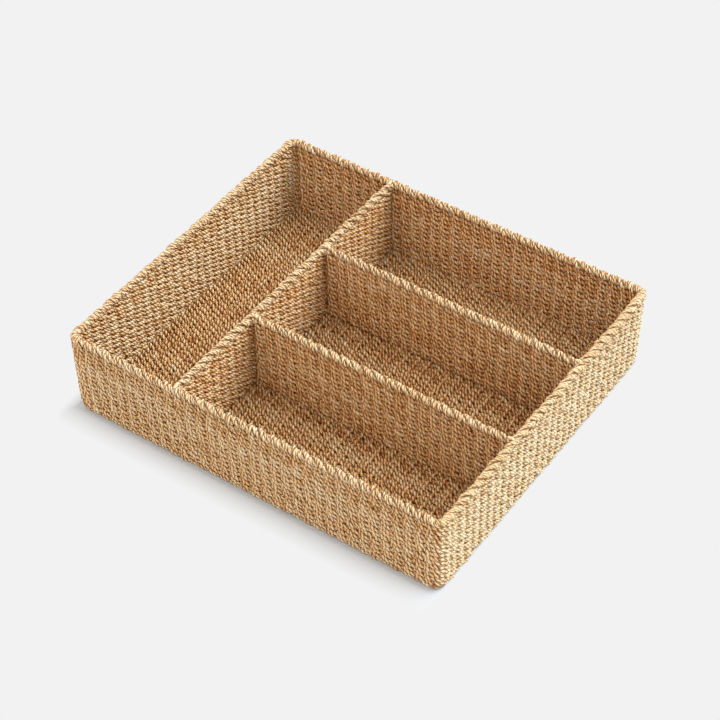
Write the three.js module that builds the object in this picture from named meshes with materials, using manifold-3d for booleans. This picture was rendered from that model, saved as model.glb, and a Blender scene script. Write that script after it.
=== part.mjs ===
// A woven cord tray with one long bay and three short ones, on a frame of steel wire.
// Millimetres, +Z up. The front wall faces -Y, the long bay lies on the -X side,
// and the origin is the middle of the underside.
import * as THREE from 'three';
import { mergeVertices } from 'three/addons/utils/BufferGeometryUtils.js';
import Module from 'manifold-3d';

const wasm = await Module();
wasm.setup();

// The whole tray
const WIDTH = 356;
const DEPTH = 306;
const HEIGHT = 80;
const LEAN = 1.2;
const INNER_RADIUS = 0.5;
const CORNER_LEG = 7.7;
const LONG_BAY_WIDTH = 98;

// The weave: rows of twined cord round upright stakes
const WEAVE_THICKNESS = 5.2;
const FLOOR_THICKNESS = 5;
const ROW_PITCH = 4.9;
const ROW_RIDGE = 0.5;
const STAKE_PITCH = 10.3;
const STAKE_THICKNESS = 2.2;

// The wrapped borders along the top edges, and the bindings at their junctions
const BORDER_WIDTH = 5.8;
const BORDER_HEIGHT = 6;
const BORDER_ROUNDING = 1.5;
const BINDING_WIDTH = 7;
const BINDING_ARM = 6;

// The wire frame inside the weave
const WIRE_DIAMETER = 2.6;
const RIM_WIRE_DROP = 3;
const BASE_WIRE_RISE = 3.7;
const BASE_WIRE_INSET = 0.4;
const FOOT_WIRE_RISE = 2.7;
const FOOT_WIRE_BEND = 5;
const DIVIDER_LEG_INSET = 8;
const STAKE_MARGIN = 5;
const STAKE_WEB = 0.9;

// Fits
const GAP = 0.3;
const OVERRUN = 1;

// How finely round things are cut
const WIRE_SIDES = 8;
const WIRE_BEND_STEPS = 4;
const CORNER_STEPS = 3;
const ROUNDING_STEPS = 2;

// Places that follow from the sizes above
const RIM_X = (WIDTH - BORDER_WIDTH) / 2;
const RIM_Y = (DEPTH - BORDER_WIDTH) / 2;
const RIM_BEND = INNER_RADIUS + BORDER_WIDTH / 2;
const BEND_X = RIM_X - RIM_BEND;
const BEND_Y = RIM_Y - RIM_BEND;
const CORNER_X = BEND_X - CORNER_LEG;
const CORNER_Y = BEND_Y - CORNER_LEG;
const BORDER_FOOT = HEIGHT - BORDER_HEIGHT;
const WEAVE_TOP = BORDER_FOOT - GAP;
const RIM_WIRE_Z = HEIGHT - RIM_WIRE_DROP;
const STAKE_TOP = RIM_WIRE_Z - WIRE_DIAMETER / 2 - GAP;
const POST_FOOT = BASE_WIRE_RISE + WIRE_DIAMETER / 2 + GAP;
const STAKE_FOOT = POST_FOOT + STAKE_WEB + GAP;
const SLOT_WIDTH = WIRE_DIAMETER + 2 * GAP + 2 * LEAN * BORDER_HEIGHT / HEIGHT;
const CHANNEL_WIDTH = STAKE_THICKNESS + 2 * GAP;
const DIVIDER_FOOT = FLOOR_THICKNESS + GAP;
const FOOT_WIRE_Z = DIVIDER_FOOT + FOOT_WIRE_RISE;
const LONG_DIVIDER_X = -WIDTH / 2 + BORDER_WIDTH + LONG_BAY_WIDTH + BORDER_WIDTH / 2;
const SHORT_BAY_DEPTH = (DEPTH - 4 * BORDER_WIDTH) / 3;
const CROSS_DIVIDER_Y = (SHORT_BAY_DEPTH + BORDER_WIDTH) / 2;

// Finishes, as the photograph shows them
const FINISHES = {
  weave: { color: 0xc29a66, roughness: 0.85, metalness: 0 },
  shaded_weave: { color: 0xa67c4a, roughness: 0.88, metalness: 0 },
  stake: { color: 0xb98f5b, roughness: 0.85, metalness: 0 },
  border: { color: 0xdcc091, roughness: 0.8, metalness: 0 },
  binding: { color: 0xe6cf9f, roughness: 0.8, metalness: 0 },
  wire: { color: 0x3b332b, roughness: 0.45, metalness: 0.8 },
};

const tray = new THREE.Group();

// Hands a finished solid to the tray as a named mesh with a material of its own.
function addPiece(name, finish, solid) {
  const { vertProperties, triVerts } = solid.getMesh();
  const geometry = new THREE.BufferGeometry();
  geometry.setAttribute('position', new THREE.BufferAttribute(Float32Array.from(vertProperties), 3));
  geometry.setIndex(new THREE.BufferAttribute(Uint32Array.from(triVerts), 1));
  geometry.computeVertexNormals();
  const material = new THREE.MeshStandardMaterial({ ...FINISHES[finish], flatShading: true });
  const mesh = new THREE.Mesh(geometry, material);
  mesh.name = name;
  tray.add(mesh);
}

// Turns a closed three.js geometry into a solid that can be joined and cut.
function toSolid(geometry) {
  const bare = geometry.clone();
  bare.deleteAttribute('normal');
  bare.deleteAttribute('uv');
  const merged = mergeVertices(bare);
  return new wasm.Manifold(new wasm.Mesh({
    numProp: 3,
    vertProperties: Float32Array.from(merged.attributes.position.array),
    triVerts: Uint32Array.from(merged.index.array),
  }));
}

function joinAll(solids) {
  return solids.reduce((sum, solid) => sum.add(solid));
}

function cutAll(body, cutters) {
  return cutters.length ? body.subtract(joinAll(cutters)) : body;
}

// How far a wall's middle has come in from the rim at a height.
function leanAt(z) {
  return LEAN * (1 - z / HEIGHT);
}

// Moves every point of a geometry to where a function says.
function remap(geometry, place) {
  const position = geometry.attributes.position;
  for (let i = 0; i < position.count; i += 1) {
    const [x, y, z] = place(position.getX(i), position.getY(i), position.getZ(i));
    position.setXYZ(i, x, y, z);
  }
  return geometry;
}

// A bar along X with an end-on outline of (Y, Z) points. Its ends may follow the height.
function bar(outline, startAt, endAt) {
  const unit = new THREE.ExtrudeGeometry(new THREE.Shape(outline), { depth: 1, bevelEnabled: false });
  return remap(unit, (y, z, share) => [startAt(z) + share * (endAt(z) - startAt(z)), y, z]);
}

// An outline carried round a bend or a loop. Each station gives an origin and the way out.
function sweep(outline, stations, isLoop) {
  const count = outline.length;
  const positions = stations.flatMap(({ x, y, angle }) => outline.flatMap((point) => [
    x + point.x * Math.cos(angle),
    y + point.x * Math.sin(angle),
    point.y,
  ]));
  const index = [];
  const spans = isLoop ? stations.length : stations.length - 1;
  for (let span = 0; span < spans; span += 1) {
    const here = span * count;
    const next = ((span + 1) % stations.length) * count;
    for (let i = 0; i < count; i += 1) {
      const j = (i + 1) % count;
      index.push(here + i, next + i, next + j, here + i, next + j, here + j);
    }
  }
  if (!isLoop) {
    const last = spans * count;
    for (const [a, b, c] of THREE.ShapeUtils.triangulateShape(outline, [])) {
      index.push(a, b, c, last + a, last + c, last + b);
    }
  }
  const geometry = new THREE.BufferGeometry();
  geometry.setAttribute('position', new THREE.Float32BufferAttribute(positions, 3));
  geometry.setIndex(index);
  return geometry;
}

// Stations round a rectangle with round corners, anticlockwise from above.
function roundedLoop(cornerX, cornerY, radius, steps) {
  const stations = [];
  for (let quarter = 0; quarter < 4; quarter += 1) {
    const signX = quarter === 0 || quarter === 3 ? 1 : -1;
    const signY = quarter < 2 ? 1 : -1;
    for (let step = 0; step <= steps; step += 1) {
      const angle = (quarter + step / steps) * Math.PI / 2;
      stations.push({
        x: signX * cornerX + radius * Math.cos(angle),
        y: signY * cornerY + radius * Math.sin(angle),
        angle,
      });
    }
  }
  return stations;
}

// A round outline for wire, drawn about a height.
function wireOutline(radius, z) {
  return Array.from({ length: WIRE_SIDES }, (_, side) => {
    const angle = (side + 0.5) * 2 * Math.PI / WIRE_SIDES;
    return new THREE.Vector2(radius * Math.cos(angle), z + radius * Math.sin(angle));
  });
}

// A woven panel seen end-on: one ridge a row on both faces.
function weaveOutline(low, high) {
  const rows = Math.max(1, Math.round((high - low) / ROW_PITCH));
  const pitch = (high - low) / rows;
  const peak = WEAVE_THICKNESS / 2;
  const valley = peak - ROW_RIDGE;
  const face = [];
  for (let row = 0; row < rows; row += 1) {
    face.push([valley, low + row * pitch], [peak, low + (row + 0.5) * pitch]);
  }
  face.push([valley, high]);
  const back = face.map(([out, z]) => [-out, z]).reverse();
  return [...face, ...back].map(([out, z]) => new THREE.Vector2(out, z));
}

// A wrapped border seen end-on, rounded along its top edges.
function borderOutline() {
  const half = BORDER_WIDTH / 2;
  const round = Array.from({ length: ROUNDING_STEPS + 1 }, (_, step) => {
    const angle = step / ROUNDING_STEPS * Math.PI / 2;
    return [
      half - BORDER_ROUNDING * (1 - Math.cos(angle)),
      HEIGHT - BORDER_ROUNDING * (1 - Math.sin(angle)),
    ];
  });
  const side = [[half, BORDER_FOOT], ...round];
  const back = side.map(([out, z]) => [-out, z]).reverse();
  return [...side, ...back].map(([out, z]) => new THREE.Vector2(out, z));
}

// The slot under a border, which the rim wire and the tops of the stakes lie in.
function slotOutline() {
  const half = SLOT_WIDTH / 2;
  const top = RIM_WIRE_Z + WIRE_DIAMETER / 2 + GAP;
  const low = BORDER_FOOT - OVERRUN;
  return [[half, low], [half, top], [-half, top], [-half, low]].map((point) => new THREE.Vector2(...point));
}

// Even places along a length, no further apart than the stakes' pitch.
function evenPlaces(from, to) {
  const count = Math.max(1, Math.round((to - from) / STAKE_PITCH));
  return Array.from({ length: count + 1 }, (_, i) => from + i * (to - from) / count);
}

function level(value) {
  return () => value;
}

// Stakes along X that hang from the run of cord which their tops turn into, all one comb.
function stakeComb(places, foot, runFoot, top) {
  const half = STAKE_THICKNESS / 2;
  const first = places[0] - half;
  const last = places[places.length - 1] + half;
  const teeth = places.slice(0, -1).flatMap((x, i) => [
    [x + half, foot],
    [x + half, runFoot],
    [places[i + 1] - half, runFoot],
    [places[i + 1] - half, foot],
  ]);
  const outline = [[first, top], [first, foot], ...teeth, [last, foot], [last, top]];
  const comb = new THREE.ExtrudeGeometry(
    new THREE.Shape(outline.map((point) => new THREE.Vector2(...point))),
    { depth: STAKE_THICKNESS, bevelEnabled: false });
  return comb.rotateX(Math.PI / 2).translate(0, half, 0);
}

// The channel in the weave that one stake stands in
function stakeChannel(x, foot, top) {
  return new THREE.BoxGeometry(CHANNEL_WIDTH, CHANNEL_WIDTH, top - foot)
    .translate(x, 0, (foot + top) / 2);
}

// The four walls. Each is drawn along X with its outside towards +Y, then turned into place.
// Its bays are listed along its own X.
const WALLS = [
  { name: 'back', turn: 0, reach: RIM_Y, half: CORNER_X, bays: ['long_bay', 'back_bay'] },
  { name: 'left', turn: Math.PI / 2, reach: RIM_X, half: CORNER_Y, bays: ['long_bay'] },
  { name: 'front', turn: Math.PI, reach: RIM_Y, half: CORNER_X, bays: ['front_bay', 'long_bay'] },
  {
    name: 'right', turn: -Math.PI / 2, reach: RIM_X, half: CORNER_Y,
    bays: ['back_bay', 'middle_bay', 'front_bay'],
  },
];

// Leans a wall's piece in towards its foot and sets it in its wall.
function intoWall(geometry, wall) {
  remap(geometry, (x, y, z) => [x, y + wall.reach - leanAt(z), z]);
  return geometry.rotateZ(wall.turn);
}

// The three dividers, drawn along X from the middle of one carrier to the middle of the other.
// The long one runs between two leaning walls, and the others start at the upright long one.
const WALL_FACE = (z) => WEAVE_THICKNESS / 2 + GAP + leanAt(z);
const DIVIDER_FACE = () => WEAVE_THICKNESS / 2 + GAP;
const DIVIDERS = [
  {
    name: 'long_divider', turn: Math.PI / 2, x: LONG_DIVIDER_X, y: 0, from: -RIM_Y, to: RIM_Y,
    startFace: WALL_FACE, bindings: [-CROSS_DIVIDER_Y, CROSS_DIVIDER_Y],
    bays: ['_front_bay', '_middle_bay', '_back_bay'],
  },
  {
    name: 'front_divider', turn: 0, x: 0, y: -CROSS_DIVIDER_Y, from: LONG_DIVIDER_X, to: RIM_X,
    startFace: DIVIDER_FACE, bindings: [], bays: [''],
  },
  {
    name: 'back_divider', turn: 0, x: 0, y: CROSS_DIVIDER_Y, from: LONG_DIVIDER_X, to: RIM_X,
    startFace: DIVIDER_FACE, bindings: [], bays: [''],
  },
];

// Where dividers meet what carries them: the walls' rims and the long divider's border
const JUNCTIONS = [
  { name: 'long_divider_front_binding', x: LONG_DIVIDER_X, y: -RIM_Y, turn: Math.PI / 2 },
  { name: 'long_divider_back_binding', x: LONG_DIVIDER_X, y: RIM_Y, turn: -Math.PI / 2 },
  { name: 'front_divider_wall_binding', x: RIM_X, y: -CROSS_DIVIDER_Y, turn: Math.PI },
  { name: 'back_divider_wall_binding', x: RIM_X, y: CROSS_DIVIDER_Y, turn: Math.PI },
  { name: 'front_divider_inner_binding', x: LONG_DIVIDER_X, y: -CROSS_DIVIDER_Y, turn: 0 },
  { name: 'back_divider_inner_binding', x: LONG_DIVIDER_X, y: CROSS_DIVIDER_Y, turn: 0 },
];

// The rim and base wires, each one closed ring
function wireRing(radius, z, inset) {
  const loop = roundedLoop(BEND_X - inset, BEND_Y - inset, RIM_BEND, WIRE_BEND_STEPS);
  return toSolid(sweep(wireOutline(radius, z), loop, true));
}

const baseInset = leanAt(BASE_WIRE_RISE) + BASE_WIRE_INSET;
addPiece('rim_wire', 'wire', wireRing(WIRE_DIAMETER / 2, RIM_WIRE_Z, 0));
addPiece('base_wire', 'wire', wireRing(WIRE_DIAMETER / 2, BASE_WIRE_RISE, baseInset));
const baseTunnel = wireRing(WIRE_DIAMETER / 2 + GAP, BASE_WIRE_RISE, baseInset);

// The four corners: an upright wire post in an angle of weave, which leans in towards its foot
const CORNERS = [
  { name: 'back_right', signX: 1, signY: 1, quarter: 0 },
  { name: 'back_left', signX: -1, signY: 1, quarter: 1 },
  { name: 'front_left', signX: -1, signY: -1, quarter: 2 },
  { name: 'front_right', signX: 1, signY: -1, quarter: 3 },
];

// Stations along one leg of a corner, round its bend and along the other leg.
function cornerStations(corner, leg) {
  const x = corner.signX * BEND_X;
  const y = corner.signY * BEND_Y;
  const bend = Array.from({ length: CORNER_STEPS + 1 }, (_, step) => ({
    x, y, angle: (corner.quarter + step / CORNER_STEPS) * Math.PI / 2,
  }));
  const legEnd = ({ angle }, side) => ({
    x: x - side * leg * Math.sin(angle), y: y + side * leg * Math.cos(angle), angle,
  });
  return [legEnd(bend[0], -1), ...bend, legEnd(bend[CORNER_STEPS], 1)];
}

// Carries an outline, drawn about a wall's middle, round a corner at the rim's bend.
function roundCorner(outline, corner, leg) {
  const moved = outline.map((point) => new THREE.Vector2(RIM_BEND + point.x, point.y));
  return sweep(moved, cornerStations(corner, leg), false);
}

// Leans a corner's piece in along both walls, towards its foot.
function leanCorner(geometry, corner) {
  return toSolid(remap(geometry, (x, y, z) => [
    x - corner.signX * leanAt(z), y - corner.signY * leanAt(z), z,
  ]));
}

function cornerPost(corner, radius, top) {
  const middle = (corner.quarter + 0.5) * Math.PI / 2;
  const post = new THREE.CylinderGeometry(radius, radius, top - POST_FOOT, WIRE_SIDES)
    .rotateX(Math.PI / 2)
    .translate(
      corner.signX * BEND_X + RIM_BEND * Math.cos(middle),
      corner.signY * BEND_Y + RIM_BEND * Math.sin(middle),
      (POST_FOOT + top) / 2);
  return leanCorner(post, corner);
}

for (const corner of CORNERS) {
  addPiece(`corner_post_${corner.name}`, 'wire', cornerPost(corner, WIRE_DIAMETER / 2, STAKE_TOP));

  const angle = leanCorner(roundCorner(weaveOutline(0, WEAVE_TOP), corner, CORNER_LEG + LEAN), corner);
  const block = toSolid(new THREE.BoxGeometry(WIDTH, DEPTH, 2 * HEIGHT).translate(
    corner.signX * (CORNER_X + WIDTH / 2), corner.signY * (CORNER_Y + DEPTH / 2), 0));
  const channel = cornerPost(corner, WIRE_DIAMETER / 2 + GAP, STAKE_TOP);
  addPiece(`corner_weave_${corner.name}`, 'weave', cutAll(angle.intersect(block), [channel, baseTunnel]));

  const rim = toSolid(roundCorner(borderOutline(), corner, CORNER_LEG));
  const slot = toSolid(roundCorner(slotOutline(), corner, CORNER_LEG + OVERRUN));
  addPiece(`rim_border_${corner.name}`, 'border', rim.subtract(slot));
}

// A border's straight lengths, each stopping short of the bindings between them
function addBorders(names, from, to, bindings, intoPlace) {
  const clear = BINDING_WIDTH / 2 + GAP;
  const stops = [...bindings].sort((a, b) => a - b);
  const starts = [from, ...stops.map((at) => at + clear)];
  const ends = [...stops.map((at) => at - clear), to];
  const slot = intoPlace(bar(slotOutline(), level(from - OVERRUN), level(to + OVERRUN)));
  names.forEach((name, i) => {
    const length = intoPlace(bar(borderOutline(), level(starts[i]), level(ends[i])));
    addPiece(name, 'border', length.subtract(slot));
  });
}

// The walls: stakes, the weave that they stand in, and the border over the rim wire
for (const wall of WALLS) {
  const half = wall.half - GAP;
  const places = evenPlaces(-half + STAKE_MARGIN, half - STAKE_MARGIN);
  const stakes = stakeComb(places, STAKE_FOOT, BORDER_FOOT, STAKE_TOP);
  addPiece(`${wall.name}_wall_stakes`, 'stake', toSolid(intoWall(stakes, wall)));

  const panel = bar(weaveOutline(0, WEAVE_TOP), level(-half), level(half));
  const channels = places.map((x) => toSolid(
    intoWall(stakeChannel(x, STAKE_FOOT - GAP, WEAVE_TOP + OVERRUN), wall)));
  const woven = cutAll(toSolid(intoWall(panel, wall)), [...channels, baseTunnel]);
  addPiece(`${wall.name}_wall_weave`, 'weave', woven);

  const along = [Math.cos(wall.turn), Math.sin(wall.turn)];
  const across = [-Math.sin(wall.turn), Math.cos(wall.turn)];
  const bindings = JUNCTIONS
    .filter(({ x, y }) => Math.abs(x * across[0] + y * across[1] - wall.reach) < GAP)
    .map(({ x, y }) => x * along[0] + y * along[1]);
  const intoRim = (geometry) => toSolid(geometry.translate(0, wall.reach, 0).rotateZ(wall.turn));
  const names = wall.bays.map((bay) => `${wall.name}_rim_border_${bay}`);
  addBorders(names, -half, half, bindings, intoRim);
}

// The floor mat: rows along X over warps that lie along Y, as far as the walls' insides
const FLOOR_X = RIM_X - LEAN - WEAVE_THICKNESS / 2 - GAP;
const FLOOR_Y = RIM_Y - LEAN - WEAVE_THICKNESS / 2 - GAP;
const FLOOR_CORNER = RIM_BEND - WEAVE_THICKNESS / 2 - GAP;

function floorOutline() {
  const rows = Math.max(1, Math.round(2 * FLOOR_Y / ROW_PITCH));
  const pitch = 2 * FLOOR_Y / rows;
  const top = [];
  for (let row = 0; row < rows; row += 1) {
    top.push([FLOOR_Y - row * pitch, FLOOR_THICKNESS - ROW_RIDGE]);
    top.push([FLOOR_Y - (row + 0.5) * pitch, FLOOR_THICKNESS]);
  }
  top.push([-FLOOR_Y, FLOOR_THICKNESS - ROW_RIDGE]);
  return [[-FLOOR_Y, 0], [FLOOR_Y, 0], ...top].map((point) => new THREE.Vector2(...point));
}

const floorEdge = roundedLoop(FLOOR_X - FLOOR_CORNER, FLOOR_Y - FLOOR_CORNER, FLOOR_CORNER, CORNER_STEPS);
const floorPlan = new THREE.Shape(floorEdge.map(({ x, y }) => new THREE.Vector2(x, y)));
const floorBlank = new THREE.ExtrudeGeometry(
  floorPlan, { depth: FLOOR_THICKNESS + 2 * OVERRUN, bevelEnabled: false }).translate(0, 0, -OVERRUN);
const floorRows = toSolid(bar(floorOutline(), level(-FLOOR_X), level(FLOOR_X)));
const warpPlaces = evenPlaces(-CORNER_X + GAP + STAKE_MARGIN, CORNER_X - GAP - STAKE_MARGIN);

// Lays upright stakes down along Y at the middle of the mat's thickness.
function layDown(upright) {
  return toSolid(upright.rotateX(-Math.PI / 2).translate(0, 0, FLOOR_THICKNESS / 2));
}

const runFoot = FLOOR_Y - STAKE_THICKNESS;
const runWidth = 2 * (warpPlaces[warpPlaces.length - 1] + CHANNEL_WIDTH / 2);
const grooveDepth = STAKE_THICKNESS + GAP + OVERRUN;
const runGroove = new THREE.BoxGeometry(runWidth, CHANNEL_WIDTH, grooveDepth)
  .translate(0, 0, runFoot - GAP + grooveDepth / 2);
const warpChannels = warpPlaces.map((x) => stakeChannel(x, -FLOOR_Y - OVERRUN, FLOOR_Y + OVERRUN));
addPiece('floor_warps', 'stake', layDown(stakeComb(warpPlaces, -FLOOR_Y, runFoot, FLOOR_Y)));
addPiece('floor_weave', 'shaded_weave',
  cutAll(floorRows.intersect(toSolid(floorBlank)), [...warpChannels, runGroove].map(layDown)));

// The dividers' foot wire: two legs and a rail bent from one wire, open at the top
function footWire(from, to, radius) {
  const bend = FOOT_WIRE_BEND;
  const arc = (centreX, quarter) => Array.from({ length: WIRE_BEND_STEPS + 1 }, (_, step) => {
    const angle = (quarter + step / WIRE_BEND_STEPS) * Math.PI / 2;
    return { x: centreX + bend * Math.cos(angle), y: FOOT_WIRE_Z + bend + bend * Math.sin(angle), angle };
  });
  const stations = [
    { x: from, y: STAKE_TOP, angle: Math.PI },
    ...arc(from + bend, 2),
    ...arc(to - bend, 3),
    { x: to, y: STAKE_TOP, angle: 2 * Math.PI },
  ];
  return sweep(wireOutline(radius, 0), stations, false).rotateX(Math.PI / 2);
}

// A straight wire along X under the border, from one rim wire to the other
function topRail(from, to) {
  const setback = WIRE_DIAMETER / 2 + GAP;
  return bar(wireOutline(WIRE_DIAMETER / 2, RIM_WIRE_Z), level(from + setback), level(to - setback));
}

for (const divider of DIVIDERS) {
  const { name, from, to } = divider;
  const intoPlace = (geometry) => toSolid(geometry.rotateZ(divider.turn).translate(divider.x, divider.y, 0));
  const legFrom = from + DIVIDER_LEG_INSET;
  const legTo = to - DIVIDER_LEG_INSET;
  const places = evenPlaces(legFrom, legTo).slice(1, -1);

  addPiece(`${name}_top_rail`, 'wire', intoPlace(topRail(from, to)));
  addPiece(`${name}_foot_wire`, 'wire', intoPlace(footWire(legFrom, legTo, WIRE_DIAMETER / 2)));

  const foot = FOOT_WIRE_Z + WIRE_DIAMETER / 2 + GAP + STAKE_WEB + GAP;
  addPiece(`${name}_stakes`, 'stake', intoPlace(stakeComb(places, foot, BORDER_FOOT, STAKE_TOP)));

  const startAt = (z) => from + divider.startFace(z);
  const endAt = (z) => to - WALL_FACE(z);
  const panel = intoPlace(bar(weaveOutline(DIVIDER_FOOT, WEAVE_TOP), startAt, endAt));
  const channels = places.map((x) => intoPlace(stakeChannel(x, foot - GAP, WEAVE_TOP + OVERRUN)));
  const tunnel = intoPlace(footWire(legFrom, legTo, WIRE_DIAMETER / 2 + GAP));
  addPiece(`${name}_weave`, 'shaded_weave', cutAll(panel, [...channels, tunnel]));

  const setback = BORDER_WIDTH / 2 + BINDING_ARM + GAP;
  const names = divider.bays.map((bay) => `${name}_border${bay}`);
  addBorders(names, from + setback, to - setback, divider.bindings, intoPlace);
}

// The bindings: cord wound over a carrier's wire and the end of the divider's rail
for (const junction of JUNCTIONS) {
  const intoPlace = (geometry) => toSolid(
    geometry.rotateZ(junction.turn).translate(junction.x, junction.y, 0));
  const half = BINDING_WIDTH / 2;
  const reach = BORDER_WIDTH / 2 + BINDING_ARM;
  const overCarrier = bar(borderOutline(), level(-half), level(half)).rotateZ(Math.PI / 2);
  const overRail = bar(borderOutline(), level(0), level(reach));
  const carrierSlot = bar(slotOutline(), level(-half - OVERRUN), level(half + OVERRUN)).rotateZ(Math.PI / 2);
  const railSlot = bar(slotOutline(), level(0), level(reach + OVERRUN));
  const wound = joinAll([intoPlace(overCarrier), intoPlace(overRail)]);
  addPiece(junction.name, 'binding', cutAll(wound, [intoPlace(carrierSlot), intoPlace(railSlot)]));
}

export default tray;
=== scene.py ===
"""The looks of a flatware tray: natural cord twined over a wire frame, with one long bay and three short.

Everything is in metres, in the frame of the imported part: the front wall faces -Y and the right wall +X.
"""

from collections import namedtuple

import bpy
import numpy as np
from mathutils import Matrix, Vector


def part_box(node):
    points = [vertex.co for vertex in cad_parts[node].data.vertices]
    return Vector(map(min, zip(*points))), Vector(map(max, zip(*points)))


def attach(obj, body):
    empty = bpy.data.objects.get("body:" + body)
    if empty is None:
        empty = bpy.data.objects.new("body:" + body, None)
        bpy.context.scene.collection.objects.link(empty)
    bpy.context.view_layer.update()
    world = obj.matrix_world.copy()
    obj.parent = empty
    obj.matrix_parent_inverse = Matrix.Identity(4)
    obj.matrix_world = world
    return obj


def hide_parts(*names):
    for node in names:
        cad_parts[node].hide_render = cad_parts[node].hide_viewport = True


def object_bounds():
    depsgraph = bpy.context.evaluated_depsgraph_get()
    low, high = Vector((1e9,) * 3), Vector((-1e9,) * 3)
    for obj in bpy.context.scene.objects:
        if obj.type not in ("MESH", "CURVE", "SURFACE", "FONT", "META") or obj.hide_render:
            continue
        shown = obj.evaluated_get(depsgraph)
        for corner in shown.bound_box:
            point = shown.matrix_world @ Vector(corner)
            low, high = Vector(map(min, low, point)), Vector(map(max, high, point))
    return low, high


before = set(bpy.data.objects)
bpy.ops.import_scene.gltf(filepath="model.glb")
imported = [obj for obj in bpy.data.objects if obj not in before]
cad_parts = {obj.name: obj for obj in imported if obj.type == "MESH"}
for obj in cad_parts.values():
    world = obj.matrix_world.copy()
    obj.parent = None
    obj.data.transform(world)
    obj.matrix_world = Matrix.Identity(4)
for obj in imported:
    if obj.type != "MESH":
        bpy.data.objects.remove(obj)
cad_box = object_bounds()

# Camera
# The viewpoint of the photograph: a long lens from the front and right of the tray, looking down at
# about forty-five degrees. It turns about a point on the table, a little behind and left of the middle.
CAMERA_AZIMUTH, CAMERA_ELEVATION, CAMERA_ROLL = np.radians((35.3398, 44.5077, -0.8905))
CAMERA_DISTANCE = 1.768
CAMERA_AIM = np.array((-0.01645, 0.02161, 0.0))
CAMERA_LENS = 105.92


def aim_camera():
    """A camera at aim + distance times back, where back is the unit vector at that azimuth and elevation.

    Its axes are right = z x back and up = back x right, both turned by the roll in their own plane.
    """
    level = np.cos(CAMERA_ELEVATION)
    back = np.array(
        (np.sin(CAMERA_AZIMUTH) * level, -np.cos(CAMERA_AZIMUTH) * level, np.sin(CAMERA_ELEVATION))
    )
    right = np.cross((0, 0, 1), back) / level
    up = np.cross(back, right)
    turned_right = right * np.cos(CAMERA_ROLL) + up * np.sin(CAMERA_ROLL)
    turned_up = up * np.cos(CAMERA_ROLL) - right * np.sin(CAMERA_ROLL)
    place = np.eye(4)
    place[:3, 0], place[:3, 1], place[:3, 2] = turned_right, turned_up, back
    place[:3, 3] = CAMERA_AIM + CAMERA_DISTANCE * back
    camera = bpy.data.objects.new("camera", bpy.data.cameras.new("camera"))
    camera.data.lens = CAMERA_LENS
    camera.matrix_world = Matrix(place.tolist())
    bpy.context.scene.collection.objects.link(camera)
    return camera


bpy.context.scene.camera = aim_camera()

# Wire frame
# Rods of dark lacquered wire carry the weave: a ring in the rim, one at the foot of the walls, a post
# in each corner, and a rail and a bent foot wire in each divider. They show only through the gaps.
WIRE_LACQUER = (0.30, 0.165, 0.075, 1)
WIRE_RUBBED = (0.42, 0.26, 0.14, 1)
WIRE_PATCHES, WIRE_PEEL, PEEL_RELIEF = 90.0, 700.0, 0.0001
LACQUER_SHARE, RUBBED_SHARE = 0.5, 0.7
WIRE_ROUGHNESS, WIRE_POLISH, WIRE_SPECULAR = 0.8, 0.2, 0.3
WIRE_NODES = [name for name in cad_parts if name.endswith(("_wire", "_rail")) or "post" in name]


class Field:
    """A value that varies over a surface: one socket of a node tree. Its operators add Math nodes."""

    def __init__(self, tree, socket=None):
        self.tree = tree
        self.socket = socket

    def node(self, kind, settings=(), inputs=(), stops=(), output=0):
        """A new shader node: its settings or its ramp's stops are set first, then its inputs are fed."""
        made = self.tree.nodes.new("ShaderNode" + kind)
        for name, value in dict(settings).items():
            setattr(made, name, value)
        for number, (place, colour) in enumerate(stops):
            elements = made.color_ramp.elements
            element = elements[number] if number < 2 else elements.new(place)
            element.position, element.color = place, colour
        for name, value in dict(inputs).items():
            if isinstance(value, Field):
                self.tree.links.new(value.socket, made.inputs[name])
            else:
                made.inputs[name].default_value = value
        return Field(self.tree, made.outputs[output] if made.outputs else None)

    def maths(self, operation, first, second=0.0):
        """A Math node of one operation on two values."""
        return self.node("Math", {"operation": operation}, {0: first, 1: second})

    def __add__(self, other):
        return self.maths("ADD", self, other)

    def __sub__(self, other):
        return self.maths("SUBTRACT", self, other)

    def __rsub__(self, other):
        return self.maths("SUBTRACT", other, self)

    def __mul__(self, other):
        return self.maths("MULTIPLY", self, other)

    def __pow__(self, other):
        return self.maths("POWER", self, other)

    __radd__ = __add__
    __rmul__ = __mul__

    def wave(self):
        """(1 + sin(2 pi value)) / 2, which runs between 0 and 1 once in each unit of the value."""
        return 0.5 + 0.5 * self.maths("SINE", self * (2 * np.pi))


def new_finish(name):
    """An empty material and the field that its nodes start from."""
    finish = bpy.data.materials.new(name)
    finish.use_nodes = True
    finish.node_tree.nodes.clear()
    return finish, Field(finish.node_tree)


def close_finish(start, colour, roughness, normal, specular):
    """The Principled shader of a finish, fed with what varies over its surface."""
    surface = start.node(
        "BsdfPrincipled",
        inputs={
            "Base Color": colour,
            "Roughness": roughness,
            "Normal": normal,
            "Specular IOR Level": specular,
        },
    )
    start.node("OutputMaterial", inputs={"Surface": surface})


def wire_finish():
    """Dark lacquer, rubbed paler and smoother in small patches, with a faint orange peel."""
    finish, start = new_finish("frame_wire")
    place = start.node("TexCoord", output="Object")
    rub = start.node("TexNoise", inputs={"Vector": place, "Scale": WIRE_PATCHES, "Detail": 3.0})
    peel = start.node("TexNoise", inputs={"Vector": place, "Scale": WIRE_PEEL, "Detail": 2.0})
    stops = (LACQUER_SHARE, WIRE_LACQUER), (RUBBED_SHARE, WIRE_RUBBED)
    patch = start.node("ValToRGB", inputs={"Fac": rub}, stops=stops)
    bump = start.node("Bump", inputs={"Height": peel, "Strength": 0.3, "Distance": PEEL_RELIEF})
    close_finish(start, patch, WIRE_ROUGHNESS - WIRE_POLISH * rub, bump, WIRE_SPECULAR)
    return finish


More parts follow.
